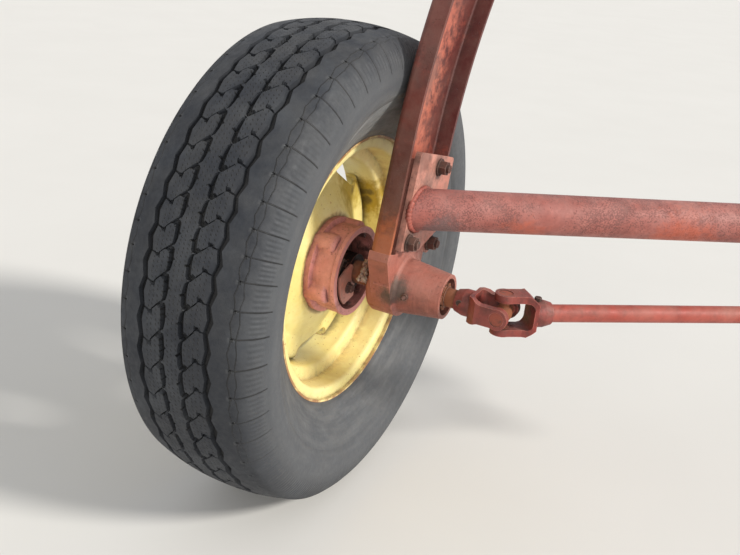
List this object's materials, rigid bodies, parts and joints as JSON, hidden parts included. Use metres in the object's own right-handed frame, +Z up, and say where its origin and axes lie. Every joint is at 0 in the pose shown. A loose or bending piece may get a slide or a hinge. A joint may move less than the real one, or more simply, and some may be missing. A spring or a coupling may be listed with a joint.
{
  "type": "ground-drive wheel unit of a side delivery rake",
  "caption": "Ground-driven support wheel of a hay rake: rubber tyre on a dished disc, ratchet hub, curved channel leg, cross tube and a universal-joint drive shaft.",
  "frame": {"origin": "centre of the outer face of the frame flange at the end of the cross tube, which is where the unit bolts to the rest of the rake", "axes": "+X along the cross tube, away from the wheel; +Z up; the wheel's axle is level and turned 36 degrees about Z from the tube, with the inboard end toward -Y"},
  "size_m": [1.1527, 0.6698, 1.0726],
  "materials": {
    "frame_paint": "weathered satin red paint",
    "hub_paint": "weathered satin red paint over casting",
    "wheel_paint": "faded yellow paint, rusty at the lip",
    "disc_paint": "mottled mustard paint with rust",
    "tyre_rubber": "dusty road rubber",
    "black_rubber": "matte",
    "bare_steel": "oily rusty steel",
    "bearing_steel": "ground steel, stained",
    "bolt_steel": "rusty zinc"
  },
  "bodies": {
    "leg": {"leg_channel": "frame_paint", "leg_plate": "frame_paint", "cross_tube": "frame_paint", "frame_flange": "frame_paint", "axle_housing": "frame_paint", "housing_bearings": "bearing_steel", "dust_seal": "black_rubber", "grease_fitting": "bare_steel", "leg_bolts": "bolt_steel", "leg_nuts": "bolt_steel"},
    "wheel": {"tyre": "tyre_rubber", "rim": "wheel_paint", "wheel_disc": "disc_paint", "hub_drum": "hub_paint", "lug_bolts": "bolt_steel", "hub_cap": "hub_paint", "valve_stem": "black_rubber"},
    "stub": {"stub_shaft": "bare_steel", "castle_nut": "bolt_steel", "cotter_pin": "bare_steel", "pawl_carrier": "bare_steel", "pawls": "bare_steel", "shaft_collar": "bare_steel", "inner_fork": "frame_paint", "inner_cups": "bearing_steel"},
    "cross": {"cross": "bare_steel"},
    "shaft": {"outer_fork": "frame_paint", "outer_cups": "bearing_steel", "drive_shaft": "frame_paint", "far_fork": "frame_paint"}
  },
  "joints": [
    {"name": "wheel_spin", "type": "hinge", "parent": "leg", "child": "wheel", "pos_m": [-0.87459, 0.09052, -0.1205], "axis": [0.809, -0.5878, 0], "continuous": true},
    {"name": "stub_spin", "type": "hinge", "parent": "leg", "child": "stub", "pos_m": [-0.87459, 0.09052, -0.1205], "axis": [0.809, -0.5878, 0], "continuous": true},
    {"name": "cross_swing", "type": "hinge", "parent": "stub", "child": "cross", "pos_m": [-0.63188, -0.08582, -0.1205], "axis": [0.5878, 0.809, 0], "range_deg": [-38, 38]},
    {"name": "shaft_swing", "type": "hinge", "parent": "cross", "child": "shaft", "pos_m": [-0.63188, -0.08582, -0.1205], "axis": [0, 0, 1], "range_deg": [-76, 0]}
  ]
}
